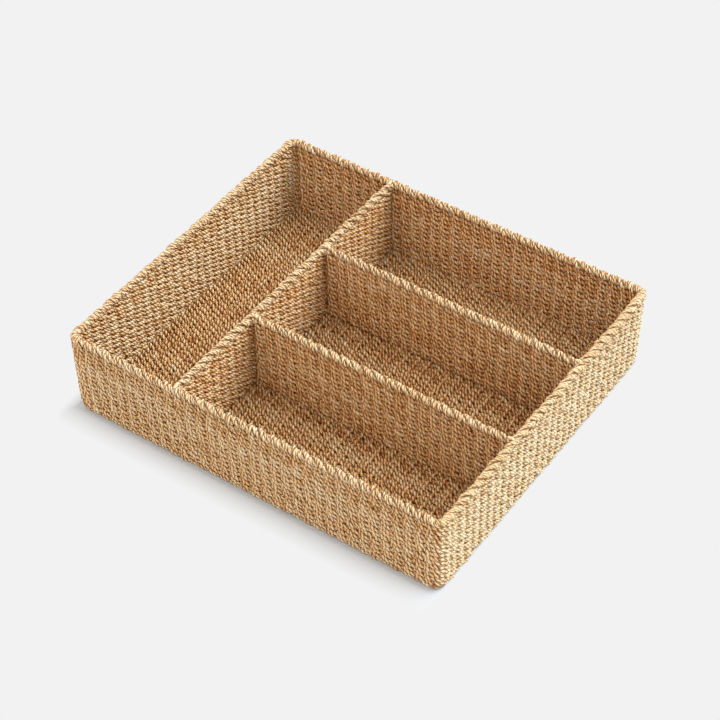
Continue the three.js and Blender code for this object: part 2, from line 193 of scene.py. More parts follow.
def wear(piece, finish):
    """The piece takes one finish on all its faces."""
    piece.data.materials.clear()
    piece.data.materials.append(finish)


frame_wire = wire_finish()
for wire_name in WIRE_NODES:
    wear(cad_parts[wire_name], frame_wire)

# Stakes
# Flat upright cords of natural fibre, about ten millimetres apart, which the rows are twined round.
# Those of the walls hang from the rim and end at the turn of the floor.
STAKE_PITCH = 0.0103
STAKE_RADIUS = 0.0011
STAKE_HALF_WIDTH, STAKE_HALF_DEPTH = 0.0023, 0.0009
STAKE_STEPS = 12
STAKE_CROOK, STAKE_KNOTS = 0.0002, 3
# Painted shade: stakes and warps get a low tone, dark brown, as the shade of the pits they show in.
STAKE_SHADE_TONE, STAKE_TONE_SPREAD = 0.1, 0.1
CORD_SIDES = 4
CORD_BROWN = (0.35, 0.125, 0.032, 1)
CORD_HONEY = (0.80, 0.515, 0.24, 1)
CORD_STRAW = (0.88, 0.77, 0.55, 1)
BROWN_SHADE, HONEY_SHADE, STRAW_SHADE = 0.14, 0.48, 0.82
TONE_SHARE, FIBRE_SHARE, BLOTCH_SHARE, SHADE_DROP = 0.6, 0.7, 0.2, 0.305
# Painted shade: each ply is darker on the side that lies against the other, by the groove shade.
CORD_GROOVE_SHADE, CREST_POWER, CREST_LEVEL = 1.05, 0.9, 0.8
FIBRES_ALONG, FIBRES_ROUND, FIBRE_WIND = 90, 7, 260
BLOTCHES, FIBRE_RELIEF = 75.0, 0.0004
CORD_ROUGHNESS, FIBRE_POLISH, CORD_SPECULAR = 0.85, 0.15, 0.12
MAP_SEED, MAP_LENGTH = 31, 10
CAP_START, CAP_SPAN, CAP_LENGTH, CAP_WIDTH = 0.005, 0.99, 0.003, 0.4
STRIP_START, STRIP_SPAN, STRIP_MARGIN, STRIP_WIDTH = 0.01, 0.98, 0.06, 0.88
HEIGHT = cad_box[1].z
WALL_LEAN = 0.0012
RIM_BEND = 0.0056
BEND_ARC = RIM_BEND * np.pi / 2
Cords = namedtuple("Cords", "middle outward half_width half_depth tone")


def unit(vectors):
    """Each vector divided by its own length."""
    return vectors / np.linalg.norm(vectors, axis=-1, keepdims=True)


def rings_round(cords):
    """The rings of vertices round each point of many cords: cords x steps x sides x 3.

    A point is middle + half_width cos(t) side + half_depth sin(t) face, where face is the outward
    direction made square to the cord's own direction, and side = face x direction.
    """
    direction = unit(np.gradient(cords.middle, axis=1))
    outward = np.broadcast_to(cords.outward, direction.shape)
    face = unit(outward - (outward * direction).sum(-1, keepdims=True) * direction)
    side = np.cross(face, direction)
    turn = 2 * np.pi * np.arange(CORD_SIDES)[:, None] / CORD_SIDES
    width = np.broadcast_to(cords.half_width, direction.shape[:2])[..., None, None]
    depth = np.broadcast_to(cords.half_depth, direction.shape[:2])[..., None, None]
    across = width * np.cos(turn) * side[..., None, :]
    through = depth * np.sin(turn) * face[..., None, :]
    return cords.middle[..., None, :] + across + through


def cord_faces(count, steps, first):
    """The quads of tubes whose rings have vertex numbers from first on, and each corner's step and side.

    The walls of a tube join ring to ring, and each end is closed by quads across its last ring.
    """
    number = first + np.arange(count * steps * CORD_SIDES).reshape(count, steps, CORD_SIDES)
    number = np.concatenate((number, number[..., :1]), axis=2)
    step, side = np.meshgrid(np.arange(steps - 1), np.arange(CORD_SIDES), indexing="ij")
    wall_step = step[..., None] + np.array((0, 0, 1, 1))
    wall_side = side[..., None] + np.array((0, 1, 1, 0))
    last = CORD_SIDES - 1
    across = np.array([(j, j + 1, last - 1 - j, last - j) for j in range(CORD_SIDES // 2 - 1)])
    cap_side = np.concatenate((across[:, ::-1], across))
    cap_step = np.repeat((0, steps - 1), len(across))[:, None] + 0 * cap_side
    all_steps = np.concatenate((wall_step.reshape(-1, 4), cap_step))
    all_sides = np.concatenate((wall_side.reshape(-1, 4), cap_side))
    is_cap = np.arange(len(all_steps)) >= wall_step.size // 4
    return number[:, all_steps, all_sides], all_steps, all_sides, is_cap


def cord_maps(cords, strip, strips, steps, sides, is_cap, offset):
    """Two maps of a bundle of cords, for each corner of each face.

    One is (length along the cord, turns round it). The other lays each cord out flat in a strip of its
    own, with its end caps as small discs beyond the strip's ends.
    """
    count = len(cords.middle)
    gaps = np.linalg.norm(np.diff(cords.middle, axis=1), axis=-1)
    length = np.concatenate((np.zeros((count, 1)), np.cumsum(gaps, axis=1)), axis=1) + offset
    along = length[:, steps]
    around = np.broadcast_to(sides / CORD_SIDES, along.shape)
    last = cords.middle.shape[1] - 1
    turn = 2 * np.pi * sides / CORD_SIDES
    cap = is_cap[:, None]
    cap_x = CAP_START + CAP_SPAN * (steps > 0) + CAP_LENGTH * np.cos(turn)
    cap_y = 0.5 + CAP_WIDTH * np.sin(turn)
    flat_x = np.where(cap, cap_x, STRIP_START + STRIP_SPAN * steps / last)
    flat_y = np.where(cap, cap_y, STRIP_MARGIN + STRIP_WIDTH * sides / CORD_SIDES)
    row = (strip + np.arange(count))[:, None, None]
    flat = np.stack(np.broadcast_arrays(flat_x, (row + flat_y) / strips), -1)
    return np.stack((along, around), -1), flat


def cord_piece(name, bundles, finish, slot, *nodes):
    """One mesh from bundles of cords, which rides on the frame and stands for some of its nodes.

    Nothing in it goes below the table, where the cords are pressed flat.
    """
    rng = np.random.default_rng(len(name) + MAP_SEED * len(bundles))
    places, tones, faces, cord_map, flat_map = [], [], [], [], []
    strips = sum(len(cords.middle) for cords in bundles)
    strip = 0
    for cords in bundles:
        count, length = cords.middle.shape[:2]
        first = sum(len(block) for block in places)
        quads, steps, sides, is_cap = cord_faces(count, length, first)
        offset = rng.uniform(0, MAP_LENGTH, (count, 1))
        along_map, strip_map = cord_maps(cords, strip, strips, steps, sides, is_cap, offset)
        tone = np.broadcast_to(cords.tone, (count, length))
        places.append(rings_round(cords).reshape(-1, 3))
        tones.append(np.repeat(tone.ravel(), CORD_SIDES))
        faces.append(quads.reshape(-1, 4))
        cord_map.append(along_map.reshape(-1, 2))
        flat_map.append(strip_map.reshape(-1, 2))
        strip += count
    places, faces = np.concatenate(places), np.concatenate(faces)
    places[:, 2] = np.maximum(places[:, 2], 0)
    mesh = bpy.data.meshes.new(name)
    mesh.vertices.add(len(places))
    mesh.vertices.foreach_set("co", places.astype(np.float32).ravel())
    mesh.loops.add(faces.size)
    mesh.loops.foreach_set("vertex_index", faces.astype(np.int32).ravel())
    mesh.polygons.add(len(faces))
    mesh.polygons.foreach_set("loop_start", np.arange(0, faces.size, 4, dtype=np.int32))
    mesh.update(calc_edges=True)
    mesh.shade_smooth()
    for map_name, blocks in (("cord", cord_map), ("OFBake", flat_map)):
        layer = mesh.uv_layers.new(name=map_name)
        layer.uv.foreach_set("vector", np.concatenate(blocks).astype(np.float32).ravel())
    tone_layer = mesh.attributes.new("tone", "FLOAT", "POINT")
    tone_layer.data.foreach_set("value", np.concatenate(tones).astype(np.float32))
    piece = bpy.data.objects.new(name, mesh)
    bpy.context.scene.collection.objects.link(piece)
    wear(piece, finish)
    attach(piece, "root")
    if nodes:
        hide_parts(*nodes)
    return piece


def cord_finish(name, brown, honey, straw, groove=CORD_GROOVE_SHADE):
    """One ply of natural cord: its fibres wind along it, its tone drifts, and its grooves have painted
    shade.

    The colour runs from brown over honey to straw with the sum of the tone, fibres, blotches and groove
    shade (crest^power - level), each times its share, less a fixed drop. The crest is a wave round the
    ply, 1 on its side away from the strand's middle and 0 on the side against the other ply, so that
    side is painted darker, as shade.
    """
    finish, start = new_finish(name)
    place = start.node("UVMap", {"uv_map": "cord"})
    along = start.node("SeparateXYZ", inputs={0: place}, output="X")
    around = start.node("SeparateXYZ", inputs={0: place}, output="Y")
    tone = start.node("Attribute", {"attribute_name": "tone"}, output="Fac")
    crest = around.wave()
    wind = around * FIBRES_ROUND + along * FIBRE_WIND
    fibre_place = start.node("CombineXYZ", inputs={"X": along * FIBRES_ALONG, "Y": wind})
    fibres = start.node("TexNoise", inputs={"Vector": fibre_place, "Scale": 1.0, "Detail": 3.0})
    object_place = start.node("TexCoord", output="Object")
    blotches = start.node("TexNoise", inputs={"Vector": object_place, "Scale": BLOTCHES, "Detail": 2.0})
    shade = tone * TONE_SHARE + fibres * FIBRE_SHARE + blotches * BLOTCH_SHARE
    # Painted shade in the lay's grooves.
    shade = shade + (crest**CREST_POWER - CREST_LEVEL) * groove - SHADE_DROP
    stops = (BROWN_SHADE, brown), (HONEY_SHADE, honey), (STRAW_SHADE, straw)
    colour = start.node("ValToRGB", inputs={"Fac": shade}, stops=stops)
    bump = start.node("Bump", inputs={"Height": fibres, "Strength": 0.9, "Distance": FIBRE_RELIEF})
    close_finish(start, colour, CORD_ROUGHNESS - FIBRE_POLISH * fibres, bump, CORD_SPECULAR)
    return finish


def wander(rng, count, steps, every):
    """Smooth random values about 0 along each of many cords.

    Random knots, one in so many steps, are joined by f(t) = 3t^2 - 2t^3, and both ends are 0.
    """
    knots = max(2, steps // every)
    values = rng.normal(size=(count, knots + 1))
    values[:, (0, -1)] = 0
    place = np.linspace(0, knots, steps)
    before = np.minimum(place.astype(int), knots - 1)
    share = place - before
    share = share * share * (3 - 2 * share)
    return values[:, before] * (1 - share) + values[:, before + 1] * share


def straight_cords(feet, tops, outward, rng):
    """Flat cords from their feet to their tops, a little crooked, with one direction outward each."""
    share = np.linspace(0, 1, STAKE_STEPS)[:, None]
    outward = np.broadcast_to(outward, feet.shape)[:, None]
    middle = feet[:, None] * (1 - share) + tops[:, None] * share
    middle = middle + STAKE_CROOK * wander(rng, len(feet), STAKE_STEPS, STAKE_KNOTS)[..., None] * outward
    tone = STAKE_SHADE_TONE + STAKE_TONE_SPREAD * rng.normal(size=(len(feet), 1))
    return Cords(middle, outward, STAKE_HALF_WIDTH, STAKE_HALF_DEPTH, tone)


def stake_places(node, axis):
    """Where the stakes of a node stand along an axis: evenly from one end of its box to the other."""
    low, high = (corner[axis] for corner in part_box(node))
    low, high = low + STAKE_RADIUS, high - STAKE_RADIUS
    return np.linspace(low, high, round((high - low) / STAKE_PITCH) + 1)


rim_low, rim_high = (np.array(corner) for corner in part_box("rim_wire"))
wire_radius = (rim_high[2] - rim_low[2]) / 2
bend = rim_high[:2] - wire_radius - RIM_BEND
SIDES = {"front": (-1, -1), "right": (1, -1), "back": (1, 1), "left": (-1, 1)}
CORNERS = ("front_left", "front_right", "back_right", "back_left")

# Going round the rim to the right, seen from outside: the distance at each end of each wall, where
# the bend's centre is there, which way is out, and the distance of each stake and corner post. The
# twining makes one more half turn on either side of a post.
knot_distance, knot_centre, knot_angle, post_distance, side_posts = [], [], [], [], {}
distance = -(2 * bend[1] + BEND_ARC)
for turn in range(-1, 5):
    side = tuple(SIDES)[turn % 4]
    ends = [np.array(tuple(SIDES.values())[corner % 4]) * bend for corner in (turn, turn + 1)]
    length = np.abs(ends[1] - ends[0]).sum()
    knot_distance += [distance, distance + length]
    knot_centre += ends
    knot_angle += [(turn - 1) * np.pi / 2] * 2
    places = stake_places(f"{side}_wall_stakes", turn % 2)
    first_post = len(post_distance) - 1
    stakes = distance + length / 2 + places
    posts = distance - BEND_ARC / 2, distance + length + BEND_ARC / 2
    post_distance += [(posts[0] + stakes[0]) / 2, *stakes, (stakes[-1] + posts[1]) / 2, posts[1]]
    if turn in range(4):
        side_posts[side] = (first_post, len(post_distance) - 1)
    distance += length + BEND_ARC
knot_centre = np.array(knot_centre)


def round_rim(distance, inset):
    """Points in plan at distances round the rim, drawn in by an inset, and the directions outward.

    A bend's centre moves along each wall and rests at its end, while the direction turns. A point is
    that centre, scaled to lie closer in by the inset, plus the bend's radius times the direction.
    """
    centre = np.stack([np.interp(distance, knot_distance, knot_centre[:, axis]) for axis in (0, 1)], -1)
    angle = np.interp(distance, knot_distance, knot_angle)
    facing = np.stack((np.cos(angle), np.sin(angle)), -1)
    return centre * (1 - np.asarray(inset)[..., None] / bend) + RIM_BEND * facing, facing


def upright(plan, z):
    """Points or directions from their parts in plan and their upright part, spread to one shape."""
    shape = np.broadcast_shapes(plan.shape[:-1], np.shape(z))
    plan = np.broadcast_to(plan, (*shape, 2))
    return np.concatenate((plan, np.broadcast_to(z, shape)[..., None]), -1)


def lean_at(z):
    """How far in from the rim a wall is at a height: the whole lean at the foot and none at the top."""
    return WALL_LEAN * (1 - z / HEIGHT)


pale_cord = cord_finish("pale_cord", CORD_BROWN, CORD_HONEY, CORD_STRAW)
for side, (first_post, last_post) in side_posts.items():
    stake_rng = np.random.default_rng(len(side))
    distances = np.array(post_distance[first_post + 2 : last_post - 1])
    foot, top = (corner.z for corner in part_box(f"{side}_wall_stakes"))
    feet, facing = round_rim(distances, lean_at(foot))
    tops, _ = round_rim(distances, lean_at(top))
    stakes = straight_cords(upright(feet, foot), upright(tops, top), upright(facing, 0), stake_rng)
    cord_piece(f"{side}_stake_cords", [stakes], pale_cord, "stake", f"{side}_wall_stakes")

# Floor mat
# Warps from front to back, with rows twined round them along the tray's width. A row is two strands,
# which cross between the warps, and a strand is two plies of cord. The mat is made as three strips.
ROW_PITCH = 0.0049
TWINE_DEPTH, TWINE_RISE = 0.0017, 0.00125
PLY_LAY = 0.0066
PLY_SPREAD, PLY_PRESSED, PLY_LIFT = 0.0008, 0.0002, 0.0006
PLY_HALF_WIDTH, PLY_HALF_DEPTH = 0.00145, 0.00085
PLY_TONE = 0.05
# Painted shade: strands are darker where they cross between the stakes and paler where they pass a stake.
CROSSING_SHADE = 0.2
SLIP, SWELL, SWAY, HEAVE, SAG = 0.3, 0.08, 0.00015, 0.0002, 0.00025
ROW_KNOTS, STRAND_KNOTS = (17, 23), (11, 17, 13, 35, 6)
TONE_DRIFT, TONE_FLECK, TONE_SPREAD = 0.06, 0.07, 0.09
# Painted shade: the floor's rows get a lower tone than the walls', so the floor is darker.
MAT_SHADE_TONE, MAT_SEED = 0.4, 5
FLOOR_THICKNESS = 0.005
FLOOR_LIFT = 0.0003
MAT_INSET = 0.7
TURN_RADIUS = 0.0012
STEPS_PER_HALF_TURN, FLOOR_STEPS_PER_HALF_TURN = 11, 9
FLOOR_STRIPS = ("front", "middle", "back")


def lay_along(run):
    """The lay's angle along a run, with a whole number of turns in it."""
    span = run[-1] - run[0]
    return 2 * np.pi * round(span / PLY_LAY) * (run - run[0]) / span


def plied(strands, outward, pressed, size, lay, tone):
    """Two plies round the middle of each strand, which is pressed flat by shares from 0 to 1.

    A ply's middle is the strand's + spread cos(lay) side + lift sin(lay) face, where face is the outward
    direction made square to the strand and side = face x direction. The other ply is half a turn on.
    """
    direction = unit(np.gradient(strands, axis=1))
    outward = np.broadcast_to(outward, strands.shape)
    face = unit(outward - (outward * direction).sum(-1, keepdims=True) * direction)
    side = np.cross(face, direction)
    turn = (np.broadcast_to(lay, strands.shape[:2])[:, None] + np.pi * np.arange(2)[:, None])[..., None]
    size = np.broadcast_to(size, strands.shape[:2])[:, None]
    spread = (size * (PLY_SPREAD + PLY_PRESSED * pressed[:, None]))[..., None]
    lift = (size * PLY_LIFT)[..., None]
    way = np.cos(turn) * side[:, None] + np.sin(turn) * face[:, None]
    offset = spread * np.cos(turn) * side[:, None] + lift * np.sin(turn) * face[:, None]
    shape = (2 * len(strands), strands.shape[1])
    return Cords(
        (strands[:, None] + offset).reshape(*shape, 3),
        way.reshape(*shape, 3),
        np.repeat(size * PLY_HALF_WIDTH, 2, axis=1).reshape(shape),
        np.repeat(size * PLY_HALF_DEPTH, 2, axis=1).reshape(shape),
        (tone[:, None] + PLY_TONE * np.array((1, -1))[:, None]).reshape(shape),
    )


def twined(
    middle,
    outward,
    upward,
    phase,
    lay,
    tone,
    rng,
    depth=TWINE_DEPTH,
    rise=TWINE_RISE,
    crossing=CROSSING_SHADE,
):
    """The plies of the two strands of each row, for rows x steps x 3 points.

    A strand's middle is the row's + depth sin(phase) outward + rise cos(phase) upward. The other strand
    is half a turn on. Each is pressed where it passes in front of a stake or behind it, by the square
    of that sine. Its tone is raised there and lowered at a crossing, by the crossing share: painted shade
    of the crossings. The lay of each strand starts at an angle of its own, which is the same in all
    panels with as many rows. Size, place and tone wander a little.
    """
    rows, steps = middle.shape[:2]
    slip, sag = (wander(rng, rows, steps, every)[:, None] for every in ROW_KNOTS)
    angle = phase + SLIP * slip + np.pi * np.arange(2)[:, None]
    sway, heave, swell, shift, fleck = (
        wander(rng, rows * 2, steps, every).reshape(rows, 2, steps) for every in STRAND_KNOTS
    )
    lay = lay + np.random.default_rng(rows).uniform(0, 2 * np.pi, (rows * 2, 1))
    deep = depth * np.sin(angle) * (1 + SWELL * swell) + SWAY * sway
    high = rise * np.cos(angle) + HEAVE * heave + SAG * sag
    outward, upward = (np.broadcast_to(way, middle.shape)[:, None] for way in (outward, upward))
    strands = middle[:, None] + deep[..., None] * outward + high[..., None] * upward
    shape = (rows * 2, steps)
    facing = np.broadcast_to(outward, strands.shape).reshape(*shape, 3)
    pressed = np.broadcast_to(np.sin(angle) ** 2, swell.shape).reshape(shape)
    tone = tone.reshape(rows * 2, 1) + (TONE_DRIFT * shift + TONE_FLECK * fleck).reshape(shape)
    # Painted shade at the crossings, and paler where the strand passes a stake.
    tone = tone + crossing * (pressed - 0.5)
    size = 1 + SWELL * swell.reshape(shape)
    return plied(strands.reshape(*shape, 3), facing, pressed, size, lay, tone)


def panel_run(places, start, end, steps_each):
    """Distances along a panel and the phase there, which is a quarter turn at its first stake.

    One half turn goes to each stake, and at both ends the twining goes on at the pace of the last.
    """
    pitch = places[1] - places[0]
    first, last = (start - places[0]) / pitch, len(places) - 1 + (end - places[-1]) / pitch
    turns = np.linspace(first, last, round((last - first) * steps_each) + 1)
    run = places[0] + turns * pitch
    return run, np.pi * (turns + 0.5)


floor_middle = FLOOR_THICKNESS / 2 + FLOOR_LIFT
turn_x, turn_y = bend + RIM_BEND - WALL_LEAN - TURN_RADIUS
floor_x, floor_y = turn_x + TURN_RADIUS / 2, turn_y - ROW_PITCH * MAT_INSET
mat_rng = np.random.default_rng(MAT_SEED)
warp_x = stake_places("floor_warps", 0)
warp_front, warp_back = (
    np.stack(np.broadcast_arrays(warp_x, end, floor_middle), -1) for end in (-floor_y, floor_y)
)
warps = straight_cords(warp_front, warp_back, (0, 0, 1), mat_rng)
cord_piece("floor_warp_cords", [warps], pale_cord, "stake", "floor_warps")
run, phase = panel_run(warp_x, -floor_x, floor_x, FLOOR_STEPS_PER_HALF_TURN)
floor_rows = np.linspace(-floor_y, floor_y, round(2 * floor_y / ROW_PITCH) + 1)
for strip_name, rows_y in zip(FLOOR_STRIPS, np.array_split(floor_rows, len(FLOOR_STRIPS))):
    middle = np.stack(np.broadcast_arrays(run, rows_y[:, None], floor_middle), -1)
    tone = MAT_SHADE_TONE + TONE_SPREAD * mat_rng.normal(size=(len(rows_y), 2))
    mat = twined(middle, (0, 0, 1), (0, 1, 0), phase, lay_along(run), tone, mat_rng)
    cord_piece(f"floor_rows_{strip_name}", [mat], pale_cord, "shaded_weave", "floor_weave")

# Outer walls
# Fifteen rows of twining round the stakes, from under the rim down to a rounded turn under the floor.
# Each wall goes from one corner post to the next, round half a bend at both ends. The cord of the
# right wall is paler, partly in its own colour and partly as painted light on the side the key light
# falls on. That of the back wall is browner, partly in its own colour and partly as painted shade, and
# the left wall's is a little paler, as painted light on its lit inner face.
WALL_ROWS = 15
# Paler cord of the right wall, the borders and the bindings: partly its own colour, partly painted light.
PALER_LIT_BROWN = (0.57, 0.35, 0.16, 1)
PALER_LIT_HONEY = (0.77, 0.59, 0.355, 1)
PALER_LIT_STRAW = (0.82, 0.73, 0.55, 1)
# Less painted shade in the paler cord's grooves; more at the right wall's crossings, as raking shade.
PALER_LIT_GROOVE_SHADE, RIGHT_WALL_CROSSING_SHADE = 0.55, 0.5
# Browner cord of the back wall and the dividers: partly its own colour, partly painted shade.
DARKER_SHADED_BROWN = (0.35, 0.11, 0.026, 1)
DARKER_SHADED_HONEY = (0.79, 0.465, 0.20, 1)
DARKER_SHADED_STRAW = (0.87, 0.70, 0.46, 1)
# Painted light: the left wall's rows get a higher tone, paler, for its lit inner face.
ROW_TONE, LEFT_PAINTED_LIGHT = 0.53, 0.05
ROW_TONE_SEED, WALL_SEED = 8, 40
CORNER_REACH, CORNER_DRAW, CORNER_LIFT, CORNER_POWER = 0.006, 0.0003, 0.0006, 6


def side_run(side):
    """Distances round the rim from one corner post to the next, and the phase there.

    A stake or post takes one half turn of the twining, which goes on from wall to wall.
    """
    first, last = side_posts[side]
    turns = np.linspace(first, last, (last - first) * STEPS_PER_HALF_TURN + 1)
    return np.interp(turns, np.arange(len(post_distance)), post_distance), np.pi * (turns + 0.5)


def wall_profile(drop):
    """How far in from the rim, how high and how tilted the wall is, at distances down its face.

    It goes straight down, leaning in, and then turns under in an arc of the turn's radius, whose
    lowest point is at the middle of the floor's thickness.
    """
    lean = np.arctan(WALL_LEAN / HEIGHT)
    turn_z = floor_middle + TURN_RADIUS * (1 - np.sin(lean))
    straight = (weave_top - turn_z) / np.cos(lean)
    tilt = lean + np.maximum(drop - straight, 0) / TURN_RADIUS
    down = np.minimum(drop, straight)
    inset = lean_at(weave_top) + down * np.sin(lean) + TURN_RADIUS * (np.cos(lean) - np.cos(tilt))
    z = weave_top - down * np.cos(lean) - TURN_RADIUS * (np.sin(tilt) - np.sin(lean))
    return inset, z, tilt


def corner_pull(run):
    """exp(-(gap / reach)^2) of each distance's gap from the nearest of its wall's two corner posts."""
    return sum(np.exp(-(((run - post) / CORNER_REACH) ** 2)) for post in (run[0], run[-1]))


paler_lit_cord = cord_finish(
    "paler_lit_cord", PALER_LIT_BROWN, PALER_LIT_HONEY, PALER_LIT_STRAW, PALER_LIT_GROOVE_SHADE
)
darker_shaded_cord = cord_finish("darker_shaded_cord", DARKER_SHADED_BROWN, DARKER_SHADED_HONEY, DARKER_SHADED_STRAW)
weave_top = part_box("front_wall_weave")[1].z
inset, row_z, tilt = (part[:, None] for part in wall_profile(ROW_PITCH * (np.arange(WALL_ROWS) + 0.5)))
foot_share = (np.arange(WALL_ROWS)[:, None] / (WALL_ROWS - 1)) ** CORNER_POWER
row_tone = ROW_TONE + TONE_SPREAD * np.random.default_rng(ROW_TONE_SEED).normal(size=(WALL_ROWS, 2))
for number, side in enumerate(SIDES):
    run, phase = side_run(side)
    pull = foot_share * corner_pull(run)
    plan, facing = round_rim(run, inset + CORNER_DRAW * pull)
    out, up = np.cos(tilt)[..., None] * facing, np.sin(tilt)[..., None] * facing
    corners = [f"corner_weave_{CORNERS[end % 4]}" for end in (number, number + 1)]
    rows = twined(
        upright(plan, row_z + CORNER_LIFT * pull),
        upright(out, -np.sin(tilt)),
        upright(up, np.cos(tilt)),
        phase,
        lay_along(run),
        row_tone + LEFT_PAINTED_LIGHT * (side == "left"),
        np.random.default_rng(WALL_SEED + number),
        crossing=RIGHT_WALL_CROSSING_SHADE if side == "right" else CROSSING_SHADE,
    )
    # Paler cord on the right wall, partly painted light; browner on the back wall, partly painted shade.
    cord = {"right": paler_lit_cord, "back": darker_shaded_cord}.get(side, pale_cord)
    cord_piece(f"{side}_wall_rows", [rows], cord, "weave", f"{side}_wall_weave", *corners)

# Dividers
# Three panels twined like the walls, of the browner cord, whose colour is partly its own and partly
# painted shade: a long one from front to back, and two short ones from it to the right wall. Each
# stands on the floor between the faces of the walls, and its strands spread at its ends.
DIVIDER_TUCK = 0.001
FLARE, FLARE_REACH = 1.6, 0.003
DIVIDER_SEED = 60
DIVIDERS = {
    "long_divider": (1, (1, 0, 0)),
    "front_divider": (0, (0, -1, 0)),
    "back_divider": (0, (0, -1, 0)),
}


def divider_run(divider, axis, steps_each):
    """Distances along a divider and the phase there. The legs of its foot wire count as stakes."""
    places = stake_places(f"{divider}_stakes", axis)
    pitch = places[1] - places[0]
    places = np.array((places[0] - pitch, *places, places[-1] + pitch))
    start, end = (corner[axis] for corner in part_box(f"{divider}_weave"))
    return panel_run(places, start - DIVIDER_TUCK, end + DIVIDER_TUCK, steps_each)


def divider_points(divider, axis, run, z):
    """Points on a divider's middle plane, at distances along it and at heights."""
    middle = sum(np.array(corner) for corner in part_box(f"{divider}_weave")) / 2
    points = np.zeros((*np.broadcast_shapes(np.shape(run), np.shape(z)), 3)) + middle
    points[..., axis], points[..., 2] = run, z
    return points


for number, (divider, (axis, outward)) in enumerate(DIVIDERS.items()):
    low, high = (corner.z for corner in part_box(f"{divider}_weave"))
    count = round((high - low) / ROW_PITCH)
    rows_z = low + (np.arange(count) + 0.5)[:, None] * (high - low) / count
    run, phase = divider_run(divider, axis, STEPS_PER_HALF_TURN)
    divider_rng = np.random.default_rng(DIVIDER_SEED + number)
    tone = ROW_TONE + TONE_SPREAD * divider_rng.normal(size=(count, 2))
    middle = divider_points(divider, axis, run, rows_z)
    gap = np.minimum(run - run[0], run[-1] - run)
    depth = TWINE_DEPTH * (1 + FLARE * np.exp(-gap / FLARE_REACH))
    rows = twined(middle, outward, (0, 0, 1), phase, lay_along(run), tone, divider_rng, depth)
    cord_piece(f"{divider}_rows", [rows], darker_shaded_cord, "shaded_weave", f"{divider}_weave")
    places = stake_places(f"{divider}_stakes", axis)
    ends = [divider_points(divider, axis, places, corner.z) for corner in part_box(f"{divider}_stakes")]
    stakes = straight_cords(*ends, outward, divider_rng)
    cord_piece(f"{divider}_stake_cords", [stakes], pale_cord, "stake", f"{divider}_stakes")

# Rim border
# Two strands wound round the rim wire, over which two ends are bent to the right at each stake, a large
# one and a small one. They go from inside the wall to outside, where they are tucked in further on.
WINDING_DEPTH, WINDING_RISE = 0.0019, 0.0020
WINDING_DROP = 0.0002
WINDING_TONE = (0.48, 0.4)
LOOP_SIZE = 0.66
LOOP_PAIR, LOOP_PLACES = (1.18, 0.88), (-0.25, 0.25)
LOOP_DEPTH, LOOP_HEIGHT = 0.0024, 0.0022
LOOP_ARC = np.radians(140)
LOOP_REACH = 1.4
LOOP_STEPS = 30
SIZE_SPREAD, SIZE_LIMITS = 0.13, (-1.5, 1.2)
REACH_SPREAD, REACH_LIMITS = 0.25, (-1.5, 1.5)
LOOP_TONE, LOOP_TONE_SPREAD = 0.48, 0.12
BORDER_GROOVE_SHADE = 0.8
RIM_SEED = 80


def wound(middle, outward, run, phase, rng):
    """The plies of two strands wound round a wire, a quarter turn ahead of the phase of the rows below."""
    tone = np.array((WINDING_TONE,))
    radii = WINDING_DEPTH, WINDING_RISE
    return twined(middle, outward, (0, 0, 1), phase + np.pi / 2, lay_along(run), tone, rng, *radii)


def bent_ends(place, stakes, pitch, rng):
    """The plies of the stakes' ends. place turns distances, depths and heights into points and a way out.

    Each stake has a large end a quarter of the pitch before it, and a small one as far after it. An end
    follows depth sin(t) and height cos(t) about the wire, times its own size, for t from minus the arc
    to the arc, and goes on along the wire by the reach meanwhile.
    """
    share = np.linspace(-1, 1, LOOP_STEPS)
    turn = LOOP_ARC * share
    bulk = np.tile(LOOP_PAIR, len(stakes))[:, None]
    stakes = (np.asarray(stakes)[:, None] + pitch * np.array(LOOP_PLACES)).ravel()
    size = 1 + SIZE_SPREAD * rng.normal(size=(len(stakes), 1)).clip(*SIZE_LIMITS)
    reach = LOOP_REACH * pitch * (1 + REACH_SPREAD * rng.normal(size=(len(stakes), 1)).clip(*REACH_LIMITS))
    run = stakes[:, None] + 0.5 * share * reach
    loop = bulk * size
    middle, facing = place(run, LOOP_DEPTH * np.sin(turn) * loop, LOOP_HEIGHT * np.cos(turn) * loop)
    way = np.sin(turn)[:, None] * facing + np.cos(turn)[:, None] * np.array((0, 0, 1))
    tone = LOOP_TONE + LOOP_TONE_SPREAD * rng.normal(size=(len(stakes), 1)) + 0 * share
    lay = np.pi * share * reach / PLY_LAY + rng.uniform(0, np.pi, (len(stakes), 1))
    return plied(middle, way, 0 * tone, LOOP_SIZE * size, lay, tone)


def on_rim(run, depth, height):
    """Points about the rim wire, at distances round it, depths outward and heights, and the way out."""
    plan, facing = round_rim(run, 0)
    return upright(plan + depth[..., None] * facing, wire_z + height), upright(facing, 0)


# The borders take the paler honey and straw, partly their own colour and partly painted light on the top.
border_cord = cord_finish("border_cord", CORD_BROWN, PALER_LIT_HONEY, PALER_LIT_STRAW, BORDER_GROOVE_SHADE)
wire_z = rim_low[2] + wire_radius
for number, side in enumerate(SIDES):
    run, phase = side_run(side)
    rim_rng = np.random.default_rng(RIM_SEED + number)
    plan, facing = round_rim(run, 0)
    middle, outward = upright(plan, wire_z - WINDING_DROP)[None], upright(facing, 0)[None]
    winding = wound(middle, outward, run, phase, rim_rng)
    first, last = side_posts[side]
    ends = bent_ends(on_rim, np.array(post_distance[first:last]), STAKE_PITCH, rim_rng)
    lengths = [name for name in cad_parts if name.startswith(f"{side}_rim_border_")]
    corners = [f"rim_border_{CORNERS[end % 4]}" for end in (number, number + 1)]
    cord = paler_lit_cord if side == "right" else border_cord
    cord_piece(f"{side}_rim_cords", [winding, ends], cord, "border", *corners, *lengths)

